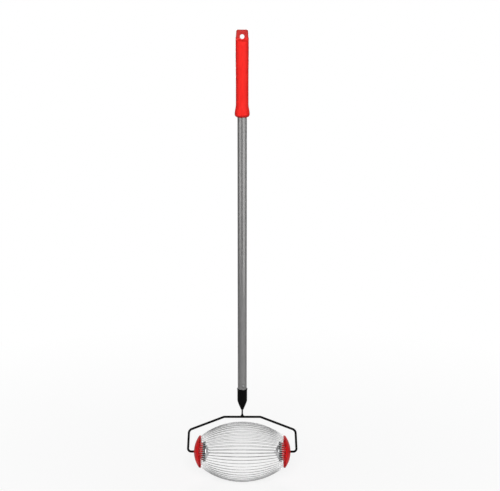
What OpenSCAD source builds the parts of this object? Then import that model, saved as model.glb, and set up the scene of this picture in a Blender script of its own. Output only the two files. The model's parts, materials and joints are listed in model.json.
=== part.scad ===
// Rolling nut gatherer: a cage of bowed spring wires turns between two end caps in a bent yoke,
// on a long tube handle with a moulded grip. Lengths are in millimetres and angles in degrees.
// +Z runs up the handle, X runs along the cage axle and -Y is the front.
// The origin is on the ground, under the middle of the cage.

/* [Cage wires] */
// Outer diameter of the cage at its middle
cage_d = 169; // [160:0.5:180]
// Distance between the inner faces of the two wire plates
cage_l = 235.6; // [220:0.1:250]
// Diameter of one cage wire
wire_d = 1.6; // [1.2:0.1:2]
// Number of wires round the cage, an even count
wire_count = 52; // [40:2:56]
// Bend radius at the foot of a wire, on its centre line
wire_bend_r = 3; // [2:0.1:4]
// Straight length of the foot that is clamped in the end
wire_foot_l = 7.5; // [5:0.1:9]

/* [Wire plates and caps] */
// Diameter of the wire plates and of the caps on them
cap_d = 90.4; // [86:0.1:96]
// Thickness of a wire plate
plate_t = 5; // [4:0.1:7]
// From a plate's rim in to the wire centres at its inner face
wire_inset = 1.7; // [1.2:0.1:2.5]
// Diameter of the boss in the middle of a plate
boss_d = 50; // [30:0.5:56]
// Height of that boss
boss_h = 5.3; // [3:0.1:8]
// Height of a cap's dome
dome_h = 15.2; // [13:0.1:20]
// Wall of a cap's dome
dome_wall = 2.5; // [1.5:0.1:3.5]
// Thickness of the rib in a cap that holds the wire feet down
foot_rib_t = 3; // [2:0.1:4]

/* [Hubs and axle ends] */
// Diameter of a hub's flange
hub_flange_d = 57; // [52:0.5:64]
// Thickness of a hub's flange
hub_flange_t = 7.5; // [5:0.1:10]
// Chamfer round a hub's flange
hub_chamfer = 1.2; // [0.5:0.1:3]
// Diameter of a hub's spigot
hub_spigot_d = 16; // [12:0.1:20]
// Wall of the socket in the cap that takes the spigot
socket_wall = 3; // [2:0.1:5]
// Plastic left over the end of the socket
crown_web = 4; // [3:0.1:6]
// Diameter of a dished washer
washer_d = 45; // [36:0.5:50]
// Diameter of the flat middle of a dished washer
washer_flat_d = 18; // [16:0.5:24]
// Depth of a dished washer
washer_h = 8.5; // [5:0.1:10]
// Sheet thickness of a dished washer
washer_t = 1.5; // [1:0.1:2]
// Diameter of a push nut
push_nut_d = 15; // [12:0.5:18]
// Sheet thickness of a push nut
push_nut_t = 1; // [0.6:0.1:1.5]
// Height of the cone of a push nut
push_nut_cone = 1.2; // [0.8:0.1:2]

/* [Yoke] */
// Diameter of the yoke rod
rod_d = 6.35; // [5:0.05:8]
// From the top of the cage up to the rod's bar
bar_gap = 17.6; // [12:0.1:30]
// Length of the flat bar between its bends
bar_l = 103; // [70:1:140]
// Drop from the bar to the shoulder corners
shoulder_drop = 40; // [30:0.5:60]
// How far the foot of a leg stands further out than its top
leg_lean = 3.8; // [0:0.1:8]
// From the crown of a cap out to the leg at axle height
leg_gap = 17.3; // [14:0.1:30]
// Bend radius beside the bar, on the centre line
bar_bend_r = 12; // [8:0.5:20]
// Bend radius at the shoulders, on the centre line
shoulder_bend_r = 14; // [8:0.5:20]
// Bend radius where the legs turn in, on the centre line
axle_bend_r = 9; // [7:0.5:12]
// Length of the rod past its push nut
axle_tail_l = 2; // [1:0.1:5]

/* [Tang and ferrule] */
// Thickness of the flat tang
tang_t = 4.2; // [3:0.1:6]
// Width of the flat tang
tang_w = 14; // [10:0.5:16]
// Length of tang that shows between rod and ferrule
neck_l = 22.2; // [12:0.1:30]
// Length of tang inside the ferrule
tang_in_l = 46; // [40:0.5:48]
// Spread of the weld along the rod
weld_l = 2.8; // [1.5:0.1:4]
// Height of the weld up the tang
weld_h = 5.5; // [3:0.1:6]
// How far the ferrule stands out from the pole
collar_step = 1.1; // [0.5:0.1:2]
// Length of the ferrule's straight body
collar_l = 35; // [32:0.5:60]
// Length of the ferrule's tapered nose
taper_l = 24.6; // [18:0.1:30]
// Thickness of the nose at its end
nose_t = 8; // [7.5:0.1:14]
// Width of the nose at its end
nose_w = 19; // [18.5:0.1:27]
// Wall of the lip round the end of the pole
lip_wall = 2.05; // [1.5:0.05:3]
// Height of the lip's flare
lip_h = 6; // [3:0.5:10]
// Depth of the cup that takes the end of the pole
cup_depth = 4; // [2:0.5:8]
// Length of the spigot inside the pole
spigot_l = 38; // [36:0.5:60]
// Wall of the hollow spigot
spigot_wall = 3.4; // [2.5:0.1:3.6]
// Diameter of the rivet through ferrule and tang
rivet_d = 5; // [3:0.1:6]
// Height of the rivet above the top of the taper
rivet_rise = 10; // [6:0.5:12]

/* [Snap button] */
// Diameter of the snap button
button_d = 7.6; // [6:0.1:8]
// How far the button stands out of the pole
button_out = 3; // [2:0.1:4]
// Press travel of the button
button_travel = 4.2; // [3.5:0.1:4.5]
// Height of the button above the rim of the lip
button_rise = 11; // [9:0.5:14]
// Turn of the button from the front, towards +X
button_turn = 14; // [0:1:45]
// Diameter of the flange that keeps the button in
button_flange_d = 10; // [9:0.1:11]
// Thickness of that flange
button_flange_t = 1.5; // [1:0.1:1.8]
// Radius of the button's crown
button_crown_r = 5.7; // [4.2:0.1:6]
// Thickness of the spring strip behind the button
spring_t = 0.6; // [0.4:0.05:0.8]
// Width of the spring strip
spring_w = 8; // [6:0.1:9]
// Straight length of the spring's legs
spring_leg_l = 20; // [16:0.5:22]

/* [Pole and grip] */
// Height of the top of the grip above the ground
overall_h = 1265; // [1000:1:1500]
// Outer diameter of the pole
pole_d = 25.4; // [24:0.1:28]
// Wall of the pole
pole_wall = 1.2; // [0.8:0.1:1.6]
// Length of the grip
grip_l = 229; // [180:1:260]
// Wall of the grip round the pole at its waist
grip_wall = 4.1; // [3:0.1:6]
// Extra radius of the grip's upper end over its waist
grip_head_step = 0.55; // [0:0.05:2]
// Extra radius of the bulb at the grip's lower end over its waist
bulb_step = 3.3; // [1.5:0.1:5]
// Rounding radius of the bulb
bulb_r = 9; // [7:0.1:10]
// Length of the flare from the bulb up to the waist
flare_l = 26; // [20:0.5:40]
// Length of the hanging tab on the grip's top
tab_l = 30; // [28:0.5:40]
// Thickness of the hanging tab
tab_t = 14; // [8:0.5:18]
// Step in at each side of the tab
tab_step = 1.25; // [0.5:0.05:3]
// Length of the narrower side of the tab
tab_side_l = 21; // [16:0.5:26]
// Rounding of the tab's top edge
tab_edge_r = 3; // [2:0.1:5]
// Rounding at the foot of the tab's flat faces
tab_foot_r = 6.2; // [2:0.1:8]
// Diameter of the hanging hole
hang_hole_d = 12; // [8:0.1:14]
// From the grip's top down to the hanging hole
hang_hole_drop = 18; // [12:0.5:20]
// Plastic left between the tab and the top of the pole
grip_web = 8; // [5:0.5:15]

/* [Hidden] */
$fn = 64;
wire_fn = 32;
large_fn = 256;
cut = 1;

// Ring at each joint of a bent rod: its rise and its length, as shares of the rod's diameter
ring_rise = 0.02;
ring_length = 0.2;

// Step in of the grip's flare where it leaves the bulb
flare_inset = 0.3;

// Clearances
wire_gap = 0.1;
seat_gap = 0.05;
slip_gap = 0.1;
run_gap = 0.06;
guide_gap = 0.08;
hole_gap = 0.4;
axle_hole_gap = 0.5;
thrust_gap = 0.3;
flange_gap = 0.3;

// Cage heights and radii
axle_z = cage_d / 2;
wire_mid_r = cage_d / 2 - wire_d / 2;
wire_face_r = cap_d / 2 - wire_inset;
wire_rise = wire_mid_r - wire_face_r;
wire_bow_r = (pow(cage_l / 2, 2) + pow(wire_rise, 2)) / (2 * wire_rise);
wire_pitch = 360 / wire_count;
wire_pairs = wire_count / 2;
foot_z = plate_t - wire_gap - wire_d / 2;
foot_x = cage_l / 2 + foot_z;
bend_at = asin((foot_x - wire_bend_r) / (wire_bow_r - wire_bend_r));
bend_centre_r = wire_mid_r - wire_bow_r + (wire_bow_r - wire_bend_r) * cos(bend_at);
wire_foot_r = bend_centre_r - wire_foot_l;
slot_w = wire_d + 2 * wire_gap;

// Cap and axle stack, measured outwards from a plate's inner face
dome_r = (pow(cap_d / 2, 2) + pow(dome_h, 2)) / (2 * dome_h);
crown_z = plate_t + dome_h;
dome_centre_z = crown_z - dome_r;
spigot_end_z = crown_z - crown_web;
foot_rib_r = wire_foot_r + wire_foot_l / 2;
hub_face_z = -boss_h - hub_flange_t;
washer_z = hub_face_z - thrust_gap;
push_nut_z = washer_z - washer_h;
axle_end_z = push_nut_z - push_nut_t - push_nut_cone - axle_tail_l;

// Yoke outline on the +X side, as corner points in X and Z
bar_z = cage_d + bar_gap + rod_d / 2;
leg_x = cage_l / 2 + crown_z + leg_gap;
yoke_corners = [
  [0, bar_z],
  [bar_l / 2, bar_z],
  [leg_x - leg_lean, bar_z - shoulder_drop],
  [leg_x, axle_z],
  [cage_l / 2 + axle_end_z, axle_z]
];
yoke_bend_r = [0, bar_bend_r, shoulder_bend_r, axle_bend_r, 0];

// Heights up the handle
nose_z = bar_z + rod_d / 2 + neck_l;
taper_z = nose_z + taper_l;
rim_z = taper_z + collar_l;
pole_z = rim_z - cup_depth;
tang_top_z = nose_z + tang_in_l;
rivet_z = taper_z + rivet_rise;
button_z = rim_z + button_rise;
grip_z = overall_h - grip_l;
tab_z = overall_h - tab_l;
pole_top_z = tab_z - grip_web;
hang_hole_z = overall_h - hang_hole_drop;

// Ferrule and button radii
collar_d = pole_d + 2 * collar_step;
cup_d = pole_d + 2 * slip_gap;
lip_d = cup_d + 2 * lip_wall;
spigot_d = pole_d - 2 * pole_wall - 2 * slip_gap;
spigot_bore_d = spigot_d - 2 * spigot_wall;
button_end_r = pole_d / 2 + button_out;
button_flange_r = sqrt(pow(spigot_bore_d / 2, 2) - pow(button_flange_d / 2, 2)) - flange_gap;
spring_front_r = button_flange_r - button_flange_t - seat_gap;
spring_back_r = sqrt(pow(spigot_bore_d / 2, 2) - pow(spring_w / 2, 2)) - wire_gap;
spring_bend_r = (spring_front_r + spring_back_r) / 2;
spring_foot = -button_flange_d / 2;
spring_bore_z = button_z + spring_foot - seat_gap;

// Grip radii
waist_r = pole_d / 2 + slip_gap + grip_wall;
head_r = waist_r + grip_head_step;
bulb_top_r = waist_r + bulb_step;
tab_r = head_r - tab_step;

function wire_pair_name(i) = str("wire_pair_", i < 10 ? "0" : "", i);

// Places an end piece, built along +Z from the plate's inner face, on the left (-1) or right (1)
module on_side(side) {
  translate([0, 0, axle_z])
    mirror([side < 0 ? 1 : 0, 0, 0])
      translate([cage_l / 2, 0, 0])
        rotate([0, 90, 0])
          children();
}

// Points local +Z out of the pole through the snap button
module through_button() {
  translate([0, 0, button_z])
    rotate([90, 0, button_turn])
      children();
}

// Red moulded grip: waisted sleeve with a bulb below and a flattened tab with a hole on top
module grip() {
  color("red") difference() {
    rotate_extrude() grip_outline();
    for (side = [-1, 1]) tab_flat(side);
    translate([0, 0, grip_z - cut]) cylinder(d = pole_d + 2 * slip_gap, h = pole_top_z - grip_z + cut);
    translate([0, 0, hang_hole_z])
      rotate([90, 0, 0])
        cylinder(d = hang_hole_d, h = 2 * head_r, center = true);
  }
}

module grip_outline() {
  bulb_z = grip_z + bulb_r;
  waist_z = bulb_z + flare_l;
  side_z = overall_h - tab_side_l;
  translate([bulb_top_r - bulb_r, bulb_z]) circle(r = bulb_r);
  translate([0, grip_z]) square([bulb_top_r - bulb_r, bulb_r]);
  polygon([
    [0, bulb_z],
    [bulb_top_r - flare_inset, bulb_z],
    [waist_r, waist_z],
    [waist_r, waist_z + (tab_z - waist_z) / 2],
    [head_r, tab_z - grip_web],
    [head_r, side_z],
    [tab_r, side_z + 2 * tab_step],
    [tab_r, overall_h - tab_edge_r],
    [0, overall_h - tab_edge_r]
  ]);
  translate([tab_r - tab_edge_r, overall_h - tab_edge_r]) circle(r = tab_edge_r);
  translate([0, overall_h - 2 * tab_edge_r]) square([tab_r - tab_edge_r, 2 * tab_edge_r]);
}

// Material taken off the front (-1) or back (1) of the grip's head to leave the tab, with a round foot
module tab_flat(side) {
  flat_d = head_r - tab_t / 2;
  foot_r = min(tab_foot_r, flat_d);
  mirror([0, side < 0 ? 1 : 0, 0])
    translate([0, tab_t / 2, tab_z])
      rotate([90, 0, 90])
        linear_extrude(2 * head_r + 2 * cut, center = true)
          difference() {
            square([flat_d + cut, tab_l + cut]);
            difference() {
              translate([-cut, -cut]) square(foot_r + cut);
              translate([foot_r, foot_r]) circle(r = foot_r);
            }
          }
}

// Grey steel tube, with one hole for the snap button
module pole() {
  color("gray") difference() {
    translate([0, 0, pole_z]) cylinder(d = pole_d, h = pole_top_z - pole_z);
    translate([0, 0, pole_z - cut]) cylinder(d = pole_d - 2 * pole_wall, h = pole_top_z - pole_z + 2 * cut);
    through_button() cylinder(d = button_d + 2 * hole_gap, h = pole_d);
  }
}

// Black moulded ferrule: chisel nose round the tang, lipped cup for the pole and a hollow spigot inside it
module ferrule() {
  color("black") difference() {
    union() {
      ferrule_nose();
      translate([0, 0, taper_z]) cylinder(d = collar_d, h = collar_l - cup_depth);
      translate([0, 0, rim_z - lip_h]) cylinder(d1 = collar_d, d2 = lip_d, h = lip_h);
      translate([0, 0, pole_z - cut]) cylinder(d = spigot_d, h = spigot_l + cup_depth + cut);
    }
    difference() {
      translate([0, 0, pole_z]) cylinder(d = cup_d, h = cup_depth + cut);
      translate([0, 0, pole_z - cut]) cylinder(d = spigot_d, h = spigot_l);
    }
    translate([0, 0, spring_bore_z]) cylinder(d = spigot_bore_d, h = spigot_l);
    translate([0, 0, nose_z + (tang_in_l + seat_gap) / 2 - cut])
      cube([tang_t + 2 * seat_gap, tang_w + 2 * seat_gap, tang_in_l + seat_gap + 2 * cut], center = true);
    rivet_hole();
    through_button() cylinder(d = button_d + 2 * guide_gap, h = spigot_d);
  }
}

// Round at the top, thin across X and wide across Y at the tip
module ferrule_nose() {
  intersection() {
    translate([0, 0, nose_z]) cylinder(d = collar_d, h = taper_l);
    rotate([90, 0, 0]) linear_extrude(2 * collar_d, center = true) taper_side(nose_t);
    rotate([90, 0, 90]) linear_extrude(2 * collar_d, center = true) taper_side(nose_w);
  }
}

module taper_side(tip_w) {
  polygon([
    [-tip_w / 2, nose_z],
    [tip_w / 2, nose_z],
    [collar_d / 2, taper_z],
    [collar_d / 2, taper_z + cut],
    [-collar_d / 2, taper_z + cut],
    [-collar_d / 2, taper_z]
  ]);
}

// Steel rivet set flush across the ferrule and the tang
module ferrule_rivet() {
  flush_l = 2 * sqrt(pow(collar_d / 2, 2) - pow(rivet_d / 2, 2)) - 2 * seat_gap;
  color("dimgray") translate([0, 0, rivet_z])
    rotate([0, 90, 0])
      cylinder(d = rivet_d, h = flush_l, center = true);
}

module rivet_hole() {
  translate([0, 0, rivet_z])
    rotate([0, 90, 0])
      cylinder(d = rivet_d + 2 * seat_gap, h = lip_d, center = true);
}

// Flat steel tang that straddles the rod, with its weld
module tang() {
  saddle_r = rod_d / 2 + seat_gap;
  weld_reach = tang_t / 2 + weld_l;
  color("black") difference() {
    union() {
      translate([-tang_t / 2, -tang_w / 2, bar_z]) cube([tang_t, tang_w, tang_top_z - bar_z]);
      for (side = [0, 1]) mirror([side, 0, 0])
        translate([0, 0, bar_z])
          rotate([0, 90, 0])
            rotate_extrude(angle = 180, start = 90)
              polygon([
                [saddle_r - seat_gap, 0],
                [saddle_r, weld_reach],
                [saddle_r + weld_h * weld_reach / weld_l, 0]
              ]);
    }
    translate([0, 0, bar_z]) rotate([0, 90, 0]) cylinder(r = saddle_r, h = 4 * weld_reach, center = true);
    rivet_hole();
  }
}

// Black steel rod bent to a yoke, with its two ends turned in as the axle
module yoke() {
  color("black") for (side = [0, 1]) mirror([side, 0, 0])
    rotate([90, 0, 0])
      translate(yoke_corners[0])
        rod_run(0);
}

function rod_heading(i) =
  let (d = yoke_corners[i + 1] - yoke_corners[i])
  atan2(d.y, d.x);
function rod_turn(i) =
  i == 0 || i == len(yoke_corners) - 1 ? 0 : (rod_heading(i) - rod_heading(i - 1) + 540) % 360 - 180;
function rod_setback(i) = yoke_bend_r[i] * tan(abs(rod_turn(i)) / 2);

// One straight run of the rod along local +X, then its bend to the right and the rest of the rod
module rod_run(i) {
  last = len(yoke_corners) - 2;
  run_l = norm(yoke_corners[i + 1] - yoke_corners[i]) - rod_setback(i) - rod_setback(i + 1);
  r = yoke_bend_r[i + 1];
  turn = rod_turn(i + 1);
  union() {
    rotate([0, 90, 0]) cylinder(d = rod_d, h = run_l);
    if (i < last) translate([run_l, 0, 0]) bend_ring(rod_d);
  }
  if (i < last)
    translate([run_l, -r, 0]) {
      union() {
        rotate(90 + turn) rotate_extrude(angle = -turn) translate([r, 0]) circle(d = rod_d);
        rotate(turn) translate([0, r, 0]) bend_ring(rod_d);
      }
      rotate(turn) translate([0, r, 0]) rod_run(i + 1);
    }
}

// Hair-fine ring across local X that closes the joint between a run and its bend
module bend_ring(d) {
  rotate([0, 90, 0]) cylinder(d = d * (1 + 2 * ring_rise), h = d * ring_length, center = true);
}

// Steel button with a domed end and an inner flange, at rest standing out of the pole
module snap_button() {
  color("silver") through_button()
    rotate_extrude() {
      intersection() {
        translate([0, button_flange_r - button_flange_t / 2]) square([button_d / 2, button_end_r]);
        translate([0, button_end_r - button_crown_r]) circle(r = button_crown_r);
      }
      translate([0, button_flange_r - button_flange_t / 2])
        square([button_d / 2, button_end_r - button_crown_r - button_flange_r + button_flange_t / 2]);
      translate([0, button_flange_r - button_flange_t]) square([button_flange_d / 2, button_flange_t]);
    }
}

// Folded spring strip in the spigot that pushes the button out
module button_spring() {
  color("silver") translate([0, 0, button_z])
    rotate([90, 0, button_turn - 90])
      linear_extrude(spring_w, center = true)
        spring_side();
}

module spring_side() {
  bend_x = (spring_front_r - spring_back_r) / 2;
  bend_y = spring_foot + spring_leg_l;
  for (x = [-spring_back_r, spring_front_r - spring_t])
    translate([x, spring_foot]) square([spring_t, spring_leg_l]);
  translate([bend_x, bend_y])
    difference() {
      intersection() {
        circle(r = spring_bend_r);
        translate([-spring_bend_r, 0]) square(2 * spring_bend_r);
      }
      circle(r = spring_bend_r - spring_t);
    }
}

// Red domed cap: thin shell with a rib that clamps the wire feet and a socket for the hub
module end_cap(side) {
  color("firebrick") on_side(side)
    rotate_extrude()
      difference() {
        dome_outline(dome_r);
        difference() {
          dome_outline(dome_r - dome_wall);
          translate([foot_rib_r - foot_rib_t / 2, plate_t]) square([foot_rib_t, dome_h]);
          translate([0, plate_t]) square([hub_spigot_d / 2 + seat_gap + socket_wall, dome_h]);
        }
        square([hub_spigot_d / 2 + seat_gap, spigot_end_z + seat_gap]);
        square([rod_d / 2 + axle_hole_gap, crown_z + cut]);
      }
}

module dome_outline(r) {
  intersection() {
    translate([0, dome_centre_z]) circle(r = r, $fn = large_fn);
    translate([0, plate_t]) square([cap_d, dome_h + cut]);
  }
}

module left_cap() end_cap(-1);
module right_cap() end_cap(1);

// Red wire plate: disc with a rim slot and a foot groove for every wire, and a boss inside
module wire_plate(side) {
  color("firebrick") on_side(side)
    difference() {
      union() {
        linear_extrude(plate_t)
          difference() {
            circle(d = cap_d);
            wire_slots(bend_centre_r, cap_d);
          }
        translate([0, 0, -boss_h]) cylinder(d = boss_d, h = boss_h + plate_t / 2);
      }
      translate([0, 0, plate_t - slot_w])
        linear_extrude(slot_w + cut)
          wire_slots(wire_foot_r - wire_gap, bend_centre_r + wire_gap);
      translate([0, 0, -boss_h - cut])
        cylinder(d = hub_spigot_d + 2 * seat_gap, h = boss_h + plate_t + 2 * cut);
    }
}

module wire_slots(from_r, to_r) {
  for (i = [0 : wire_count - 1])
    rotate(i * wire_pitch)
      translate([from_r, -slot_w / 2])
        square([to_r - from_r, slot_w]);
}

module left_wire_plate() wire_plate(-1);
module right_wire_plate() wire_plate(1);

// Black hub: flange inside the cage and a spigot through the plate into the cap, bored for the axle
module hub(side) {
  bore_r = rod_d / 2 + run_gap;
  flange_r = hub_flange_d / 2;
  color("black") on_side(side)
    rotate_extrude()
      polygon([
        [bore_r, hub_face_z],
        [flange_r - hub_chamfer, hub_face_z],
        [flange_r, hub_face_z + hub_chamfer],
        [flange_r, -boss_h],
        [hub_spigot_d / 2, -boss_h],
        [hub_spigot_d / 2, spigot_end_z],
        [bore_r, spigot_end_z]
      ]);
}

module left_hub() hub(-1);
module right_hub() hub(1);

// Two dished zinc washers that keep the hubs on the axle ends
module axle_washers() {
  color("lightgray") for (side = [-1, 1]) on_side(side)
    rotate_extrude()
      polygon([
        [rod_d / 2 + seat_gap, push_nut_z],
        [washer_flat_d / 2, push_nut_z],
        [washer_d / 2, washer_z - washer_t],
        [washer_d / 2, washer_z],
        [washer_d / 2 - washer_t, washer_z],
        [washer_flat_d / 2 - washer_t / 2, push_nut_z + washer_t],
        [rod_d / 2 + seat_gap, push_nut_z + washer_t]
      ]);
}

// Two coned push nuts that grip the ends of the rod
module push_nuts() {
  color("lightgray") for (side = [-1, 1]) on_side(side)
    rotate_extrude()
      translate([0, push_nut_z])
        polygon([
          [push_nut_d / 2, 0],
          [push_nut_d / 2, -push_nut_t],
          [rod_d / 2 + seat_gap, -push_nut_t - push_nut_cone],
          [rod_d / 2 + seat_gap, -push_nut_cone],
          [push_nut_d / 2 - push_nut_t, 0]
        ]);
}

// Two wires on opposite sides of the cage
module wire_pair(i) {
  color("silver") for (turn = [0, 180])
    translate([0, 0, axle_z])
      rotate([(i - 1) * wire_pitch + turn - 90, 0, 0])
        wire($fn = wire_fn);
}

// One bowed wire in the local XY plane, bowed towards +Y
module wire() {
  translate([0, wire_mid_r - wire_bow_r, 0]) {
    union() {
      rotate_extrude(angle = 2 * bend_at, start = 90 - bend_at, $fn = large_fn)
        translate([wire_bow_r, 0])
          circle(d = wire_d);
      for (side = [-1, 1]) rotate(side * bend_at) translate([0, wire_bow_r, 0]) bend_ring(wire_d);
    }
    wire_foot();
    mirror([1, 0, 0]) wire_foot();
  }
}

// Bend at the end of the wire and the straight foot that points at the axle
module wire_foot() {
  rotate(-bend_at)
    translate([0, wire_bow_r - wire_bend_r, 0])
      rotate(bend_at) {
        union() {
          rotate_extrude(angle = 90 - bend_at) translate([wire_bend_r, 0]) circle(d = wire_d);
          translate([wire_bend_r, 0, 0]) rotate(90) bend_ring(wire_d);
        }
        translate([wire_bend_r, 0, 0]) rotate([90, 0, 0]) cylinder(d = wire_d, h = wire_foot_l);
      }
}

grip();
pole();
ferrule();
ferrule_rivet();
tang();
yoke();
snap_button();
button_spring();
left_cap();
right_cap();
left_wire_plate();
right_wire_plate();
left_hub();
right_hub();
axle_washers();
push_nuts();
for (i = [1 : wire_pairs]) wire_pair(i);
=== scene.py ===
import json
import math

import bmesh
import bpy
from mathutils import Matrix, Vector


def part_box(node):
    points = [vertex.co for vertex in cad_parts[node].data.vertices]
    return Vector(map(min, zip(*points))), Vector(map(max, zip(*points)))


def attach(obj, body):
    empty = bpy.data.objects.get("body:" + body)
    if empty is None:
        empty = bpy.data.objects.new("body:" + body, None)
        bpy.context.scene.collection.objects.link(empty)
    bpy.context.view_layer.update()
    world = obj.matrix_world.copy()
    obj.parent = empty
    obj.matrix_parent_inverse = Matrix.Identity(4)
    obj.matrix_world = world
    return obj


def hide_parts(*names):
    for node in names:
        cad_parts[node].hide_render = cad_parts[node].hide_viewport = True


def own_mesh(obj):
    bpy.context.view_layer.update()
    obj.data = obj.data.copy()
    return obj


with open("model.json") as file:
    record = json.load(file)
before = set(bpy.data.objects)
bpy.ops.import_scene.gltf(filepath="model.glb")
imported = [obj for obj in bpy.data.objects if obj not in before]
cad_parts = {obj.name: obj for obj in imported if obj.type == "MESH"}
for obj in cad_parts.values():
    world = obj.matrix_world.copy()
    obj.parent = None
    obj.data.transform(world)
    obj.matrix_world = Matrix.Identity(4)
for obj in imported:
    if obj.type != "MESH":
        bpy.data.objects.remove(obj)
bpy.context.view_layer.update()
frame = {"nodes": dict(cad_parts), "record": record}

# Camera
# The tool stands upright and is seen from the front, with the camera as high as the end of the grip.
# The lens is fitted to the photo's frame, so heights and widths fall where they do there.
photo_width_px = 500
focal_px = 1021
sensor_mm = 36
camera_place = (0.0213, -2.733, 1.2678)
camera_pitch = math.radians(12)
camera_roll = math.radians(0.08)
camera_data = bpy.data.cameras.new("photo_camera")
camera_data.sensor_fit = "HORIZONTAL"
camera_data.sensor_width = sensor_mm
camera_data.lens = focal_px / photo_width_px * sensor_mm
camera = bpy.data.objects.new("photo_camera", camera_data)
camera.location = camera_place
camera.rotation_euler = (Matrix.Rotation(math.pi / 2 - camera_pitch, 3, "X")
                         @ Matrix.Rotation(camera_roll, 3, "Z")).to_euler()
scene = bpy.context.scene
scene.collection.objects.link(camera)
scene.camera = camera
scene.view_settings.view_transform = "Standard"


# Studio
# A pale floor that keeps the tool's shadow and runs out to white, in a room that is white to the camera.
# The room's dimmer walls and the tall soft boxes draw upright bands on the round tube and rods.
def add_node(tree, kind, inputs=None, **properties):
    """Adds a node; each input, by name or number, takes a plain value or another node's output."""
    node = tree.nodes.new(kind)
    for name, value in properties.items():
        setattr(node, name, value)
    for socket, value in (inputs or {}).items():
        if isinstance(value, bpy.types.NodeSocket):
            tree.links.new(value, node.inputs[socket])
        else:
            node.inputs[socket].default_value = value
    return node


def math_value(tree, operation, *values):
    """Result of a Math node on plain numbers or other nodes' outputs."""
    return add_node(tree, "ShaderNodeMath", dict(enumerate(values)), operation=operation).outputs[0]


def ramped(tree, value, start, end, low=0, high=1):
    """Number that goes from low at start to high at end, and stays level beyond them."""
    limits = {"From Min": start, "From Max": end, "To Min": low, "To Max": high}
    return add_node(tree, "ShaderNodeMapRange", {"Value": value, **limits}).outputs["Result"]


mix_factor, mix_first, mix_second, mix_result = 0, 6, 7, 2


def mixed_colour(tree, first, second, factor, blend="MIX"):
    """Two colours mixed by a factor; the node's colour sockets come after its number and vector ones."""
    sockets = {mix_factor: factor, mix_first: first, mix_second: second}
    mix = add_node(tree, "ShaderNodeMix", sockets, data_type="RGBA", blend_type=blend)
    return mix.outputs[mix_result]


def mixed_shaders(tree, factor, first, second):
    """Node that mixes the shaders of two nodes by a factor."""
    sockets = {0: factor, 1: first.outputs[0], 2: second.outputs[0]}
    return add_node(tree, "ShaderNodeMixShader", sockets)


def seen_directly(tree):
    """1 for rays from the camera, a mirror or a clear surface, and 0 for light on dull surfaces."""
    path = add_node(tree, "ShaderNodeLightPath").outputs
    mirror_or_clear = math_value(tree, "MAXIMUM", path["Is Glossy Ray"], path["Is Transmission Ray"])
    return math_value(tree, "MAXIMUM", path["Is Camera Ray"], mirror_or_clear)


white = (1, 1, 1, 1)
room_light = (0.12, 0.12, 0.12, 1)
dim_front = (0.35, 0.35, 0.35, 1)
dim_ceiling = (0.3, 0.3, 0.3, 1)
dark_left = (0.25, 0.25, 0.25, 1)
scene.world = bpy.data.worlds.new("white_room")
scene.world.use_nodes = True
room = scene.world.node_tree
look = add_node(room, "ShaderNodeTexCoord").outputs["Generated"]
toward = add_node(room, "ShaderNodeSeparateXYZ", {0: look}).outputs
front_and_back = mixed_colour(room, dim_front, white, ramped(room, toward["Y"], start=0.6, end=0.85))
left_and_right = mixed_colour(room, white, dark_left, ramped(room, toward["X"], start=-0.25, end=-0.6))
ceiling = mixed_colour(room, white, dim_ceiling, ramped(room, toward["Z"], start=0.3, end=0.62))
walls = mixed_colour(room, front_and_back, left_and_right, 1, "MULTIPLY")
walls = mixed_colour(room, walls, ceiling, 1, "MULTIPLY")
camera_ray = add_node(room, "ShaderNodeLightPath").outputs["Is Camera Ray"]
room_shown = mixed_colour(room, walls, white, camera_ray)
room_tone = mixed_colour(room, room_light, room_shown, seen_directly(room))
room.links.new(room_tone, room.nodes["Background"].inputs["Color"])

floor_reach = 2.2
floor_corners = [(-floor_reach, -floor_reach, 0), (floor_reach, -floor_reach, 0),
                 (floor_reach, floor_reach, 0), (-floor_reach, floor_reach, 0)]
floor_data = bpy.data.meshes.new("pale_floor")
floor_data.from_pydata(floor_corners, [], [(0, 1, 2, 3)])
floor = bpy.data.objects.new("pale_floor", floor_data)
scene.collection.objects.link(floor)
floor_white = bpy.data.materials.new("floor_white")
floor_white.use_nodes = True
floor_tree = floor_white.node_tree
floor_tree.nodes.clear()
paint = add_node(floor_tree, "ShaderNodeBsdfDiffuse", {"Color": (0.65, 0.65, 0.65, 1)})
sheet = add_node(floor_tree, "ShaderNodeBsdfDiffuse", {"Color": (0.92, 0.92, 0.92, 1)})
glow = add_node(floor_tree, "ShaderNodeEmission", {"Color": white})
shade = add_node(floor_tree, "ShaderNodeBsdfDiffuse", {"Color": dark_left})

# The floor glows towards white as it runs out, and near the tool the rest of it takes the shadow.
spot = add_node(floor_tree, "ShaderNodeTexCoord").outputs["Object"]
outward = add_node(floor_tree, "ShaderNodeVectorMath", {0: spot}, operation="LENGTH").outputs["Value"]
glow_share = ramped(floor_tree, outward, start=0.2, end=1.6, low=0.8)
floor_lit = mixed_shaders(floor_tree, glow_share, sheet, glow)
floor_shown = mixed_shaders(floor_tree, seen_directly(floor_tree), paint, floor_lit)

# Its far left is darker in gloss alone, and gives the lower half of the tube its dark edge.
right_and_back = (1, 0.25, 0)
sideways = add_node(floor_tree, "ShaderNodeVectorMath", {0: spot, 1: right_and_back}, operation="DOT_PRODUCT")
far_left = ramped(floor_tree, sideways.outputs["Value"], start=-0.7, end=-0.95)
glossy_ray = add_node(floor_tree, "ShaderNodeLightPath").outputs["Is Glossy Ray"]
shaded = math_value(floor_tree, "MULTIPLY", far_left, glossy_ray)
floor_surface = mixed_shaders(floor_tree, shaded, floor_shown, shade)
add_node(floor_tree, "ShaderNodeOutputMaterial", {"Surface": floor_surface.outputs[0]})
floor_data.materials.append(floor_white)
lamp_aim = Vector((0, 0, 0.6))


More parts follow.
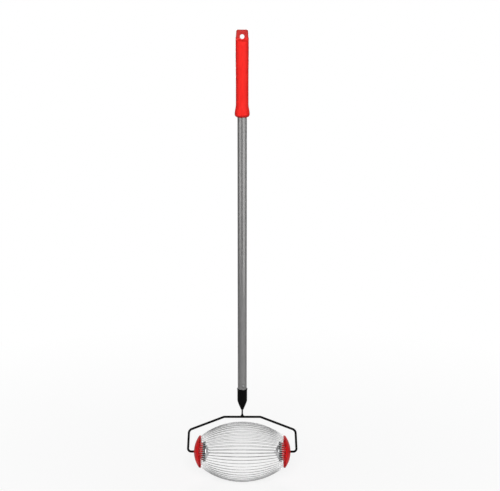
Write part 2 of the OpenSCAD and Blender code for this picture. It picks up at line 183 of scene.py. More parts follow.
def soft_box(name, turn, distance, height, width, tall, watts, streak=False):
    """Soft box that faces the handle, turned from the front towards +X; a streak shows in gloss alone."""
    data = bpy.data.lights.new(name, "AREA")
    data.shape = "RECTANGLE"
    data.size = width
    data.size_y = tall
    data.energy = watts
    lamp = bpy.data.objects.new(name, data)
    angle = math.radians(turn)
    lamp.location = (distance * math.sin(angle), -distance * math.cos(angle), height)
    lamp.rotation_euler = (lamp_aim - lamp.location).to_track_quat("-Z", "Y").to_euler()
    lamp.visible_diffuse = not streak
    scene.collection.objects.link(lamp)


soft_box("key_soft_box", turn=1, distance=3.0, height=2.2, width=2.0, tall=1.8, watts=110)
soft_box("back_soft_box", turn=180, distance=3.0, height=1.9, width=2.0, tall=2.0, watts=60)
soft_box("left_streak", turn=-53, distance=2.4, height=1.15, width=1.8, tall=2.2, watts=40, streak=True)
soft_box("right_streak", turn=44, distance=1.7, height=1.0, width=1.55, tall=1.9, watts=30, streak=True)
soft_box("right_edge_streak", turn=100, distance=2.6, height=1.3, width=0.15, tall=2.4, watts=9, streak=True)


# Yoke
# One 6.35 mm steel rod, bent cold to a flat bar, two sloping shoulders and two legs.
# Its ends turn in as the axle stubs. It is painted satin black once the tang is welded on, and the
# paint stops at the wire plates, so that the stubs are bare inside the cage.
mm = 0.001
joints = {joint["name"]: joint for joint in frame["record"]["behaviour"]["joints"]}
axle_height = joints["cage_spin"]["pos_m"][2]
bar_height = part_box("tang")[0].z
rod_radius = 3.175 * mm
rod_end_round = 0.8 * mm
bar_reach = 51.5 * mm
shoulder_reach = 151.5 * mm
shoulder_drop = 40 * mm
leg_reach = 155.3 * mm
stub_end = 92 * mm
axle_bend = 9 * mm
shoulder_bend = 14 * mm
bar_bend = 12 * mm
sharp_edge = math.radians(38)


def bent_line(corners, radii, step=math.radians(5)):
    """Centre line through the corners, with a bend of its own radius at each inner one."""
    corners = [Vector(c) for c in corners]
    line = [corners[0]]
    for before, corner, after, radius in zip(corners, corners[1:], corners[2:], radii):
        back = (before - corner).normalized()
        ahead = (after - corner).normalized()
        half = back.angle(ahead) / 2
        centre = corner + (back + ahead).normalized() * radius / math.sin(half)
        arm = corner + back * radius / math.tan(half) - centre
        turn = math.pi - 2 * half
        count = max(2, round(turn / step))
        axis = arm.cross(-back).normalized()
        line += [centre + Matrix.Rotation(turn * k / count, 3, axis) @ arm for k in range(count + 1)]
    return line + [corners[-1]]


def skin(rings, ring_loop=False, bm=None):
    """Closed surface over rings of equal point counts, with lengths in metres as its UV map."""
    bm = bm or bmesh.new()
    uv = bm.loops.layers.uv.get("UVMap") or bm.loops.layers.uv.new("UVMap")
    points = [[bm.verts.new(p) for p in ring] for ring in rings]
    sides = len(rings[0])
    along = [0]
    for here, after in zip(rings, rings[1:] + rings[:1]):
        along.append(along[-1] + max((b - a).length for a, b in zip(here, after)))
    around = max(sum((b - a).length for a, b in zip(ring, ring[1:] + ring[:1])) for ring in rings)
    spans = len(rings) if ring_loop else len(rings) - 1
    for i in range(spans):
        here, after = points[i], points[(i + 1) % len(rings)]
        for j in range(sides):
            k = (j + 1) % sides
            face = bm.faces.new((here[j], here[k], after[k], after[j]))
            u = (along[i], along[i], along[i + 1], along[i + 1])
            v = (j, j + 1, j + 1, j)
            for loop, a, b in zip(face.loops, u, v):
                loop[uv].uv = (a, b / sides * around)
    if not ring_loop:
        for ring in (points[0], points[-1]):
            face = bm.faces.new(ring)
            middle = sum((p.co for p in ring), Vector()) / sides
            for loop in face.loops:
                loop[uv].uv = ((loop.vert.co - middle).length, 0)
    return bm


def headings(points):
    """Direction of a line at each of its points."""
    ahead = [(b - a).normalized() for a, b in zip(points, points[1:])]
    return [ahead[0]] + [(a + b).normalized() for a, b in zip(ahead, ahead[1:])] + [ahead[-1]]


def drawn_rod(line, radius, plane_normal, sides, end_round, bm=None):
    """Round rod along a line that lies in one plane, with its cut ends a little rounded."""
    normal = Vector(plane_normal)
    heading = headings(line)

    def ring(centre, direction, r):
        across = direction.cross(normal)
        angles = [2 * math.pi * j / sides for j in range(sides)]
        return [centre + (normal * math.cos(a) + across * math.sin(a)) * r for a in angles]

    quarter = [math.radians(a) for a in (0, 30, 60, 90)]
    rings = [ring(line[0] + heading[0] * end_round * (1 - math.sin(a)), heading[0],
                  radius - end_round * (1 - math.cos(a))) for a in reversed(quarter)]
    rings += [ring(c, d, radius) for c, d in zip(line[1:-1], heading[1:-1])]
    rings += [ring(line[-1] - heading[-1] * end_round * (1 - math.sin(a)), heading[-1],
                   radius - end_round * (1 - math.cos(a))) for a in quarter]
    return skin(rings, bm=bm)


def smooth(mesh):
    """Smooth shading that keeps the sharp edges of the piece."""
    mesh.shade_smooth()
    mesh.set_sharp_from_angle(angle=sharp_edge)


def add_piece(name, bm, material, body, nodes):
    """Links a finished mesh as one piece that rides on a body and stands for these CAD nodes."""
    bmesh.ops.recalc_face_normals(bm, faces=bm.faces)
    mesh = bpy.data.meshes.new(name)
    bm.to_mesh(mesh)
    bm.free()
    smooth(mesh)
    mesh.materials.append(material)
    piece = bpy.data.objects.new(name, mesh)
    scene.collection.objects.link(piece)
    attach(piece, body)
    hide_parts(*nodes)
    return piece


def new_group(name, inputs, outputs):
    """Shader node group with float or vector sockets; returns it with what it is given and what it gives."""
    tree = bpy.data.node_groups.new(name, "ShaderNodeTree")
    kinds = {"float": "NodeSocketFloat", "vector": "NodeSocketVector"}
    for socket, kind in inputs.items():
        tree.interface.new_socket(socket, in_out="INPUT", socket_type=kinds[kind])
    for socket, kind in outputs.items():
        tree.interface.new_socket(socket, in_out="OUTPUT", socket_type=kinds[kind])
    return tree, tree.nodes.new("NodeGroupInput").outputs, tree.nodes.new("NodeGroupOutput").inputs


def stretched_place(tree, stretch):
    """The piece's own coordinates, stretched along its axes."""
    place = add_node(tree, "ShaderNodeTexCoord").outputs["Object"]
    return add_node(tree, "ShaderNodeVectorMath", {0: place, 1: stretch}, operation="MULTIPLY").outputs[0]


def noise_value(tree, place, scale, detail, roughness=0.5):
    """Noise from 0 to 1 over a place."""
    sockets = {"Vector": place, "Scale": scale, "Detail": detail, "Roughness": roughness}
    return add_node(tree, "ShaderNodeTexNoise", sockets).outputs["Fac"]


# Surface grain: noise over the piece's own coordinates, stretched along an axis where it is drawn or rolled.
patch_scale = 0.06
surface_grain, given, gives = new_group(
    "surface_grain", {"Size": "float", "Stretch": "vector"}, {"Height": "float", "Patches": "float"})
grain_place = stretched_place(surface_grain, given["Stretch"])
patch_size = math_value(surface_grain, "MULTIPLY", given["Size"], patch_scale)
grain_height = noise_value(surface_grain, grain_place, given["Size"], detail=3, roughness=0.55)
tone_patches = noise_value(surface_grain, grain_place, patch_size, detail=5, roughness=0.6)
surface_grain.links.new(grain_height, gives["Height"])
surface_grain.links.new(tone_patches, gives["Patches"])

# Rub marks: thin scratches that keep to worn patches, as handling and the ground leave them.
worn_patch_size = 28
rub_marks, given, gives = new_group(
    "rub_marks", {"Size": "float", "Stretch": "vector", "Amount": "float"}, {"Mask": "float"})
plain_place = add_node(rub_marks, "ShaderNodeTexCoord").outputs["Object"]
scratch_place = stretched_place(rub_marks, given["Stretch"])
scratch_noise = noise_value(rub_marks, scratch_place, given["Size"], detail=2)
worn_noise = noise_value(rub_marks, plain_place, worn_patch_size, detail=3)
scratches = ramped(rub_marks, scratch_noise, start=0.6, end=0.68)
worn_patches = ramped(rub_marks, worn_noise, start=0.45, end=0.62)
kept_scratches = math_value(rub_marks, "MULTIPLY", scratches, worn_patches)
mark_mask = math_value(rub_marks, "MULTIPLY", kept_scratches, given["Amount"])
rub_marks.links.new(mark_mask, gives["Mask"])
scratch_stretch = 0.08


def grained_material(name, light_tone, dark_tone, worn_tone, worn, rough, size, stretch, depth, **plain):
    """Tone and roughness drift in patches over a fine grain, with rub marks; plain values set the shader."""
    material = bpy.data.materials.new(name)
    material.use_nodes = True
    tree = material.node_tree
    along = {"Size": size, "Stretch": stretch}
    grain = add_node(tree, "ShaderNodeGroup", along, node_tree=surface_grain).outputs
    lengthwise = {"Size": size, "Stretch": (*stretch[:2], min(stretch[2], scratch_stretch)), "Amount": worn}
    marks = add_node(tree, "ShaderNodeGroup", lengthwise, node_tree=rub_marks).outputs
    tone = add_node(tree, "ShaderNodeValToRGB", {"Fac": grain["Patches"]})
    for stop, share, colour in zip(tone.color_ramp.elements, (0.3, 0.7), (dark_tone, light_tone)):
        stop.position = share
        stop.color = (*colour, 1)
    rubbed = mixed_colour(tree, tone.outputs["Color"], (*worn_tone, 1), marks["Mask"])
    sheen = ramped(tree, grain["Patches"], start=0.25, end=0.75, low=rough[0], high=rough[1])
    bump = add_node(tree, "ShaderNodeBump", {"Strength": 1, "Distance": depth, "Height": grain["Height"]})
    shader = tree.nodes["Principled BSDF"].inputs
    tree.links.new(rubbed, shader["Base Color"])
    tree.links.new(sheen, shader["Roughness"])
    tree.links.new(bump.outputs["Normal"], shader["Normal"])
    for socket, value in plain.items():
        shader[socket.replace("_", " ")].default_value = value
    return material


def tone_along(material, tone, axis, start, end, mirrored=False, below=None):
    """Mixes a tone into a material along an axis of its piece, from start on to end; returns the share."""
    tree = material.node_tree
    spot = add_node(tree, "ShaderNodeTexCoord").outputs["Object"]
    place = add_node(tree, "ShaderNodeSeparateXYZ", {0: spot}).outputs
    along = math_value(tree, "ABSOLUTE", place[axis]) if mirrored else place[axis]
    share = ramped(tree, along, start, end)
    if below is not None:
        share = math_value(tree, "MULTIPLY", share, math_value(tree, "LESS_THAN", place["Z"], below))
    base = tree.nodes["Principled BSDF"].inputs["Base Color"]
    tree.links.new(mixed_colour(tree, base.links[0].from_socket, (*tone, 1), share), base)
    return share


black_paint = grained_material(
    "satin_black_paint", light_tone=(0.003, 0.003, 0.0031), dark_tone=(0.002, 0.002, 0.002),
    worn_tone=(0.06, 0.06, 0.06), worn=0.35, rough=(0.34, 0.46),
    size=900, stretch=(1, 1, 1), depth=0.03 * mm, Specular_IOR_Level=0.03)
bare_steel = (0.55, 0.55, 0.56)
bare_reach = 118 * mm
bare_height = 120 * mm
paint_edge = 0.1 * mm
bare_share = tone_along(black_paint, bare_steel, "X", bare_reach, bare_reach - paint_edge,
                        mirrored=True, below=bare_height)
black_paint.node_tree.links.new(bare_share, black_paint.node_tree.nodes["Principled BSDF"].inputs["Metallic"])
right_half = [(bar_reach, 0, bar_height), (shoulder_reach, 0, bar_height - shoulder_drop),
              (leg_reach, 0, axle_height), (stub_end, 0, axle_height)]
left_half = [(-x, y, z) for x, y, z in reversed(right_half)]
left_bends = [axle_bend, shoulder_bend, bar_bend]
yoke_line = bent_line(left_half + right_half, left_bends + left_bends[::-1])
add_piece("yoke_rod", drawn_rod(yoke_line, rod_radius, (0, 1, 0), sides=32, end_round=rod_end_round),
          black_paint, "handle", ["yoke"])


# Tang
# A flat steel bar that straddles the rod and runs up inside the ferrule, where a rivet holds it.
# It is welded to the rod on both faces, and the weld shows as a rippled flare at its foot.
tang_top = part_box("tang")[1].z
tang_thick = 4.2 * mm
tang_wide = 14 * mm
tang_corner = 0.6 * mm
tang_levels = [bar_height, bar_height + 4 * mm, bar_height + 30 * mm, tang_top]
weld_rise = 5.5 * mm
weld_spread = 2.8 * mm
weld_root = 0.3 * mm
weld_hollow = 1.15
weld_ripples = 9
ripple_depth = 0.07
weld_end_share = 0.2
weld_steps = 48
fillet_steps = 6


def rounded_box_ring(half_x, half_y, z, corner, corner_points=6):
    """Level ring of a rectangle with rounded corners."""
    ring = []
    for cx, cy, start in ((1, 1, 0), (-1, 1, 90), (-1, -1, 180), (1, -1, 270)):
        for k in range(corner_points):
            a = math.radians(start + 90 * k / (corner_points - 1))
            ring.append(Vector((cx * (half_x - corner) + corner * math.cos(a),
                                cy * (half_y - corner) + corner * math.sin(a), z)))
    return ring


def weld_swell(lie):
    """Share of its full size that the weld has at a place from -0.5 to 0.5 along it."""
    ripple = 1 + ripple_depth * math.cos(2 * math.pi * weld_ripples * lie)
    return ripple * math.sqrt(max(weld_end_share ** 2, 1 - (2 * lie) ** 6))


tang_mesh = skin([rounded_box_ring(tang_thick / 2, tang_wide / 2, z, tang_corner) for z in tang_levels])
for face_side in (-1, 1):
    bead = []
    for k in range(weld_steps + 1):
        lie = k / weld_steps - 0.5
        turn = math.pi * lie
        swell = weld_swell(lie)
        spread = weld_spread * swell
        rise = weld_rise * swell
        section = [(-weld_root, -weld_root)]
        for j in range(fillet_steps + 1):
            t = j / fillet_steps
            section.append((spread * (1 - t) ** weld_hollow, rise * t ** weld_hollow))
        section.append((-weld_root, rise))
        bead.append([Vector((face_side * (tang_thick / 2 + x), (rod_radius + z) * math.sin(turn),
                             bar_height + (rod_radius + z) * math.cos(turn))) for x, z in section])
    skin(bead, bm=tang_mesh)
add_piece("welded_tang", tang_mesh, black_paint, "handle", ["tang"])


# Ferrule
# A moulded black end piece: round above, pinched to a chisel nose round the tang below.
# A flared lip takes the end of the pole, and a hollow spigot runs up inside the tube.
nose_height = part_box("ferrule")[0].z
spigot_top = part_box("ferrule")[1].z
taper_length = 24.6 * mm
collar_length = 35 * mm
cup_depth = 4 * mm
taper_height = nose_height + taper_length
rim_height = taper_height + collar_length
cup_floor = rim_height - cup_depth
spring_floor = rim_height + 5.95 * mm
collar_radius = 13.8 * mm
lip_radius = 14.85 * mm
cup_radius = 12.8 * mm
spigot_radius = 11.4 * mm
spigot_bore = 8 * mm
spigot_chamfer = 0.8 * mm
nose_half_x = 4 * mm
nose_half_y = 9.5 * mm
tip_edge = 0.5 * mm
taper_edge = 0.65 * mm
collar_edge = 0.05 * mm
taper_dish = 0.45
taper_steps = 14


def soft_least(values, blend):
    """Least of the values with a rounded change-over, as a moulded edge has."""
    return -blend * math.log(sum(math.exp(-v / blend) for v in values))


def pinched_ring(radius, half_x, half_y, z, edge, sides=72):
    """Ring of a round bar cut by flats on its sides (x) and its faces (y), with moulded edges."""
    ring = []
    for j in range(sides):
        a = 2 * math.pi * (j + 0.5) / sides
        reach = [radius]
        if half_x < radius:
            reach.append(half_x / abs(math.cos(a)))
        if half_y < radius:
            reach.append(half_y / abs(math.sin(a)))
        r = soft_least(reach, edge) if len(reach) > 1 else radius
        ring.append(Vector((r * math.cos(a), r * math.sin(a), z)))
    return ring


def level_ring(radius, z, sides=72):
    """Ring of a plain round bar or bore."""
    return pinched_ring(radius, math.inf, math.inf, z, edge=0, sides=sides)


black_plastic = grained_material(
    "moulded_black_plastic", light_tone=(0.0032, 0.0032, 0.0033), dark_tone=(0.0022, 0.0022, 0.0022),
    worn_tone=(0.03, 0.03, 0.03), worn=0.4, rough=(0.3, 0.42),
    size=1400, stretch=(1, 1, 1), depth=0.04 * mm, Specular_IOR_Level=0.03)
ferrule_rings = []
for rise, x_share, y_share in ((0, 0.8, 0.93), (0.4 * mm, 0.94, 0.98)):
    ferrule_rings.append(pinched_ring(collar_radius, nose_half_x * x_share, nose_half_y * y_share,
                                      nose_height + rise, tip_edge))
for k in range(1, taper_steps + 1):
    t = k / taper_steps
    dished = t - taper_dish * t * (1 - t) ** 2
    half_x = nose_half_x + (collar_radius - nose_half_x) * dished
    half_y = nose_half_y + (collar_radius - nose_half_y) * dished
    edge = taper_edge + (collar_edge - taper_edge) * t
    ferrule_rings.append(pinched_ring(collar_radius, half_x, half_y, nose_height + taper_length * t, edge))
ferrule_rings += [level_ring(collar_radius, taper_height + rise * mm) for rise in (0.6, 4, 12, 20, 27)]
lip_outline = [(collar_radius, -6), (collar_radius + 0.4 * mm, -3.4), (lip_radius - 0.1 * mm, -1),
               (lip_radius, -0.5), (lip_radius - 0.15 * mm, -0.12), (lip_radius - 0.45 * mm, 0),
               (cup_radius + 0.5 * mm, 0), (cup_radius + 0.15 * mm, -0.12), (cup_radius, -0.45)]
ferrule_rings += [level_ring(r, rim_height + z * mm) for r, z in lip_outline]
spigot_outline = [(cup_radius, cup_floor), (spigot_radius, cup_floor),
                  (spigot_radius, spigot_top - spigot_chamfer), (spigot_radius - spigot_chamfer, spigot_top),
                  (spigot_bore, spigot_top), (spigot_bore, spring_floor)]
ferrule_rings += [level_ring(r, z) for r, z in spigot_outline]
add_piece("ferrule_moulding", skin(ferrule_rings), black_plastic, "handle", ["ferrule"])


# Ferrule rivet
# A plain steel rivet set flush through the ferrule and the tang, which it holds together.
# The CAD solid is its true shape, so it stays and takes a plated finish. The ferrule's finer mesh
# has no hole for it and covers its ends.
plated_steel = grained_material(
    "zinc_plated_steel", light_tone=(0.6, 0.605, 0.61), dark_tone=(0.48, 0.49, 0.5),
    worn_tone=(0.62, 0.62, 0.62), worn=0.4, rough=(0.3, 0.45),
    size=1600, stretch=(1, 1, 1), depth=0.01 * mm, Metallic=1.0)


def keep_node(node, material):
    """Keeps a CAD node whose shape is right, with a finished material in its slots."""
    slots = frame["nodes"][node].data.materials
    slots.clear()
    slots.append(material)


keep_node("ferrule_rivet", plated_steel)


# Pole
# A 25.4 mm steel tube with a 1.2 mm wall and a satin grey coat, drilled once for the snap button.
# Its lower end sits in the ferrule's lip and its upper end in the grip.
pole_low, pole_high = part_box("pole")
pole_foot = pole_low.z
pole_top = pole_high.z
pole_radius = pole_high.x
pole_wall = 1.2 * mm
pole_steps = 24
button_height = rim_height + 11 * mm
button_turn = math.radians(14)
button_hole_radius = 4.2 * mm
button_sides = 40


def cut_away(piece, cutter):
    """Takes a cutter's volume off a piece for good and deletes the cutter."""
    cut = piece.modifiers.new("cut", "BOOLEAN")
    cut.operation = "DIFFERENCE"
    cut.solver = "EXACT"
    cut.object = cutter
    bpy.context.view_layer.update()
    evaluated = piece.evaluated_get(bpy.context.evaluated_depsgraph_get())
    mesh = bpy.data.meshes.new_from_object(evaluated)
    mesh.name = piece.name
    piece.modifiers.clear()
    piece.data = mesh
    smooth(mesh)
    bpy.data.objects.remove(cutter)


def cutter_from(bm, matrix):
    """Loose object to cut with, moved to its place."""
    bmesh.ops.transform(bm, matrix=matrix, verts=bm.verts)
    bmesh.ops.recalc_face_normals(bm, faces=bm.faces)
    mesh = bpy.data.meshes.new("cutter")
    bm.to_mesh(mesh)
    bm.free()
    cutter = bpy.data.objects.new("cutter", mesh)
    scene.collection.objects.link(cutter)
    return cutter


grey_coat = grained_material(
    "satin_grey_coat", light_tone=(0.225, 0.222, 0.22), dark_tone=(0.195, 0.193, 0.191),
    worn_tone=(0.3, 0.3, 0.3), worn=0.35, rough=(0.18, 0.25),
    size=1500, stretch=(1, 1, 0.04), depth=0.015 * mm, Metallic=0.3, Specular_IOR_Level=0.1)
pole_levels = [pole_foot + (pole_top - pole_foot) * k / pole_steps for k in range(pole_steps + 1)]
pole_rings = [level_ring(pole_radius, z) for z in pole_levels]
pole_rings += [level_ring(pole_radius - pole_wall, z) for z in reversed(pole_levels)]
pole = add_piece("pole_tube", skin(pole_rings, ring_loop=True), grey_coat, "handle", ["pole"])
out_of_button = (Matrix.Translation((0, 0, button_height)) @ Matrix.Rotation(button_turn, 4, "Z")
                 @ Matrix.Rotation(math.pi / 2, 4, "X"))
button_drill = skin([level_ring(button_hole_radius, z, button_sides) for z in (0, 2 * pole_radius)])
cut_away(pole, cutter_from(button_drill, out_of_button))


# Snap button
# A turned steel button with a domed end that stands out through the tube and locks it on the ferrule.
# A flange in the spigot's bore holds it in, and the spring behind it pushes it out.
button_radius = 3.8 * mm
button_flange_radius = 5 * mm
button_edge = 0.3 * mm
button_end = 15.7 * mm
flange_front = 5.945 * mm
flange_back = 4.445 * mm
crown_radius = 5.7 * mm
crown_edge = 0.4 * mm
crown_share = 0.97
crown_steps = 8
crown_centre = button_end - crown_radius
crown_start = crown_centre + math.sqrt(crown_radius ** 2 - button_radius ** 2)
crown_lean = math.asin(button_radius / crown_radius) * crown_share
button_outline = [
    (button_flange_radius - button_edge, flange_back), (button_flange_radius, flange_back + button_edge),
    (button_flange_radius, flange_front - button_edge), (button_flange_radius - button_edge, flange_front),
    (button_radius, flange_front), (button_radius, crown_start - crown_edge)]
for k in range(crown_steps):
    a = crown_lean * (1 - k / crown_steps)
    button_outline.append((crown_radius * math.sin(a), crown_centre + crown_radius * math.cos(a)))
button_mesh = skin([level_ring(r, z, button_sides) for r, z in button_outline])
bmesh.ops.transform(button_mesh, matrix=out_of_button, verts=button_mesh.verts)
turned_steel = grained_material(
    "dull_turned_steel", light_tone=(0.2, 0.2, 0.2), dark_tone=(0.15, 0.15, 0.15),
    worn_tone=(0.3, 0.3, 0.3), worn=0.5, rough=(0.42, 0.52),
    size=1800, stretch=(1, 1, 1), depth=0.01 * mm, Metallic=0.6)
add_piece("snap_button_turned", button_mesh, turned_steel, "button", ["snap_button"])


# Button spring
# A strip of zinc-plated spring steel, folded to a U, that lies in the spigot behind the button.
# One leg rests on the bore's far wall. The strip is built at rest; the real one folds flatter as the button
# goes in.
strip_thick = 0.6 * mm
strip_wide = 8 * mm
strip_edge = 0.15 * mm
strip_clearance = 0.05 * mm
strip_front = flange_back - strip_clearance
strip_back = 6.828 * mm
strip_leg = 20 * mm
strip_foot = -button_flange_radius
fold_radius = (strip_front + strip_back - strip_thick) / 2
fold_middle = (strip_front - strip_back) / 2
fold_steps = 20


def folded_strip(line, thick, wide, edge):
    """Flat strip bent along a line of (out, up) points, with its edges a little rounded."""
    points = [Vector((0, up, out)) for out, up in line]
    across = Vector((1, 0, 0))
    section = rounded_box_ring(wide / 2, thick / 2, 0, edge, corner_points=4)
    rings = []
    for point, along in zip(points, headings(points)):
        face = along.cross(across)
        rings.append([point + across * p.x + face * p.y for p in section])
    return skin(rings)


strip_line = [(strip_front - strip_thick / 2, strip_foot)]
for k in range(fold_steps + 1):
    a = math.pi * k / fold_steps
    strip_line.append((fold_middle + fold_radius * math.cos(a),
                       strip_foot + strip_leg + fold_radius * math.sin(a)))
strip_line.append((strip_thick / 2 - strip_back, strip_foot))
strip_mesh = folded_strip(strip_line, strip_thick, strip_wide, strip_edge)
bmesh.ops.transform(strip_mesh, matrix=out_of_button, verts=strip_mesh.verts)
strip = add_piece("folded_spring_strip", strip_mesh, plated_steel, "handle", ["button_spring"])
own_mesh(strip)


# Grip
# A glossy red moulded sleeve pushed over the tube, waisted, with a rounded bulb at its lower end.
# Its head is pinched to a flat tab with a hole to hang the tool by, and the tab carries painted shade.
grip_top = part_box("grip")[1].z
grip_length = 229 * mm
grip_foot = grip_top - grip_length
grip_sides = 96
sleeve_bore = 12.8 * mm
sleeve_chamfer = 1 * mm
bulb_radius = 20.2 * mm
bulb_round = 9 * mm
flare_length = 26 * mm
flare_step = 2.2 * mm
flare_levels = 13
waist_radius = 16.9 * mm
waist_foot = grip_foot + 43 * mm
waist_step = 8 * mm
waist_levels = 19
head_radius = 17.45 * mm
head_foot = grip_top - 130 * mm
head_length = 60 * mm
tab_foot = grip_top - 30 * mm
tab_side = grip_top - 21 * mm
tab_radius = 16.7 * mm
tab_top_radius = 15.6 * mm
tab_step = 2.5 * mm
tab_half = 7 * mm
tab_curve = 7 * mm
tab_round = 4.6 * mm
tab_face_round = 0.8 * tab_round
tab_edge = 0.7 * mm
tab_painted_shade = (0.5, 0.03, 0.026)
tab_shade_end = tab_side + 4 * mm
bulb_painted_shade = (0.42, 0.014, 0.013)
bulb_shade_start = grip_foot + 8 * mm
bulb_shade_end = grip_foot + 1 * mm
red_grip = grained_material(
    "glossy_red_grip", light_tone=(0.86, 0.024, 0.018), dark_tone=(0.8, 0.019, 0.016),
    worn_tone=(0.88, 0.05, 0.045), worn=0.3, rough=(0.3, 0.42),
    size=700, stretch=(1, 1, 1), depth=0.05 * mm, Specular_IOR_Level=0.03)
# Painted shade: the tab's flat faces are painted darker than the sleeve.
tone_along(red_grip, tab_painted_shade, "Z", tab_foot, tab_shade_end)
# Painted shade: the bulb is painted darker towards its lower edge.
tone_along(red_grip, bulb_painted_shade, "Z", bulb_shade_start, bulb_shade_end)


def held(t):
    """Share kept between 0 and 1."""
    return min(1, max(0, t))


def eased(t):
    """Share that leaves 0 and reaches 1 without a corner."""
    t = held(t)
    return t * t * (3 - 2 * t)


def rounded_off(t):
    """Share of a corner's radius that a quarter round has taken off at a share of its height."""
    return 1 - math.sqrt(max(0, 1 - t * t))


def grip_radius(z):
    """Outer radius of the sleeve: bulb, flare, waist, head and the tab's narrower sides."""
    if z < grip_foot + bulb_round:
        return bulb_radius - bulb_round * rounded_off((grip_foot + bulb_round - z) / bulb_round)
    r = bulb_radius + (waist_radius - bulb_radius) * eased((z - grip_foot - bulb_round) / flare_length)
    r += (head_radius - waist_radius) * eased((z - head_foot) / head_length)
    r -= (head_radius - tab_radius) * eased((z - tab_side) / tab_step)
    r -= (tab_radius - tab_top_radius) * held((z - tab_side) / (grip_top - tab_side))
    if z > grip_top - tab_round:
        r -= tab_round * rounded_off((z - grip_top + tab_round) / tab_round)
    return r


def tab_half_at(z):
    """Half thickness of the head, from past its round down to the flat tab with a curved foot."""
    past_round = head_radius + 1 * mm
    half = tab_half + (past_round - tab_half) * rounded_off(1 - held((z - tab_foot) / tab_curve))
    if z > grip_top - tab_round:
        half -= tab_face_round * rounded_off((z - grip_top + tab_round) / tab_round)
    return half


def quarter_turn(start, step):
    """Angles from start up to a quarter turn, in degrees, as radians."""
    return [math.radians(a) for a in range(start, 91, step)]


grip_levels = [grip_foot + bulb_round * (1 - math.cos(a)) for a in quarter_turn(8, 8)]
grip_levels += [grip_foot + bulb_round + (k + 1) * flare_step for k in range(flare_levels)]
grip_levels += [waist_foot + k * waist_step for k in range(waist_levels)]
grip_levels += [tab_foot - drop * mm for drop in (10, 5, 2, 0.5)]
grip_levels += [tab_foot + tab_curve * (1 - math.cos(a)) for a in quarter_turn(4, 7)]
grip_levels += [tab_side + rise * mm for rise in (-0.6, 0, 0.6, 1.2, 1.9, 2.6, 7, 12, 17)]
grip_levels += [grip_top - tab_round * (1 - math.sin(a)) for a in quarter_turn(0, 10)]
sleeve_outline = [(sleeve_bore, pole_top), (sleeve_bore, grip_foot + sleeve_chamfer),
                  (sleeve_bore + 0.8 * sleeve_chamfer, grip_foot)]
grip_rings = [level_ring(r, z, grip_sides) for r, z in sleeve_outline]
for z in sorted(grip_levels):
    grip_rings.append(pinched_ring(grip_radius(z), math.inf, tab_half_at(z), z, tab_edge, grip_sides))
grip = add_piece("moulded_grip", skin(grip_rings), red_grip, "handle", ["grip"])
hole_height = grip_top - 18 * mm
hole_radius = 6 * mm
hole_round = 1.4 * mm
hole_sweep = math.radians(80)
hole_steps = 8
hole_flare = 0.4 * mm
hole_past = 2 * mm
front_outline = []
for k in range(hole_steps + 1):
    a = hole_sweep * (1 - k / hole_steps)
    front_outline.append((hole_radius + hole_round * (1 - math.cos(a)),
                          tab_half - hole_round + hole_round * math.sin(a)))
front_outline.insert(0, (front_outline[0][0] + hole_flare, tab_half + hole_past))
hole_outline = front_outline + [(r, -z) for r, z in reversed(front_outline)]
hole_place = Matrix.Translation((0, 0, hole_height)) @ Matrix.Rotation(math.pi / 2, 4, "X")
cut_away(grip, cutter_from(skin([level_ring(r, z, sides=64) for r, z in hole_outline]), hole_place))


# Cage wires
# Bright drawn spring wire, bowed out between the ends so that it parts over a nut and closes behind it.
# Each end is bent in to a short foot that is clamped between the wire plate and the cap.
plate_thick = 5 * mm
cap_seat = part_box("right_cap")[0].x
cap_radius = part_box("right_cap")[1].y
end_reach = cap_seat - plate_thick
wire_radius = 0.8 * mm
wire_end_round = 0.15 * mm
wire_count = 52
wire_inset = 1.7 * mm
wire_middle = axle_height - wire_radius
bow_rise = wire_middle - (cap_radius - wire_inset)
bow_radius = (end_reach ** 2 + bow_rise ** 2) / (2 * bow_rise)
bow_steps = 16
foot_reach = end_reach + 4.1 * mm
foot_bend = 3 * mm
foot_length = 7.5 * mm
bend_steps = 7
bright_wire = grained_material(
    "bright_drawn_wire", light_tone=(0.31, 0.31, 0.312), dark_tone=(0.21, 0.21, 0.212),
    worn_tone=(0.6, 0.6, 0.6), worn=0.4, rough=(0.24, 0.36),
    size=2200, stretch=(0.05, 1, 1), depth=0.006 * mm, Metallic=1.0)
# Painted light: the wires are painted lighter towards their ends, near the plates.
wire_end_painted_light = (0.72, 0.72, 0.72)
end_light_start = 88 * mm
end_light_full = 121 * mm
tone_along(bright_wire, wire_end_painted_light, "X", end_light_start, end_light_full, mirrored=True)
bow_centre = wire_middle - bow_radius
bow_end = math.asin((foot_reach - foot_bend) / (bow_radius - foot_bend))
foot_centre = bow_centre + (bow_radius - foot_bend) * math.cos(bow_end)
half_wire = []
for k in range(bow_steps + 1):
    a = bow_end * k / bow_steps
    half_wire.append((bow_radius * math.sin(a), bow_centre + bow_radius * math.cos(a)))
for k in range(1, bend_steps + 1):
    a = bow_end + (math.pi / 2 - bow_end) * k / bend_steps
    half_wire.append((foot_reach - foot_bend + foot_bend * math.sin(a),
                      foot_centre + foot_bend * math.cos(a)))
half_wire.append((foot_reach, foot_centre - foot_length))
wire_points = [(-x, r) for x, r in reversed(half_wire)] + half_wire[1:]
for pair in range(wire_count // 2):
    pair_mesh = bmesh.new()
    for opposite in (0, math.pi):
        turn = 2 * math.pi * pair / wire_count + opposite - math.pi / 2
        out = Vector((0, math.cos(turn), math.sin(turn)))
        line = [Vector((x, 0, axle_height)) + out * r for x, r in wire_points]
        drawn_rod(line, wire_radius, Vector((1, 0, 0)).cross(out), sides=12, end_round=wire_end_round,
                  bm=pair_mesh)
    node = f"wire_pair_{pair + 1:02d}"
    add_piece(f"cage_wires_{pair + 1:02d}", pair_mesh, bright_wire, "cage", [node])
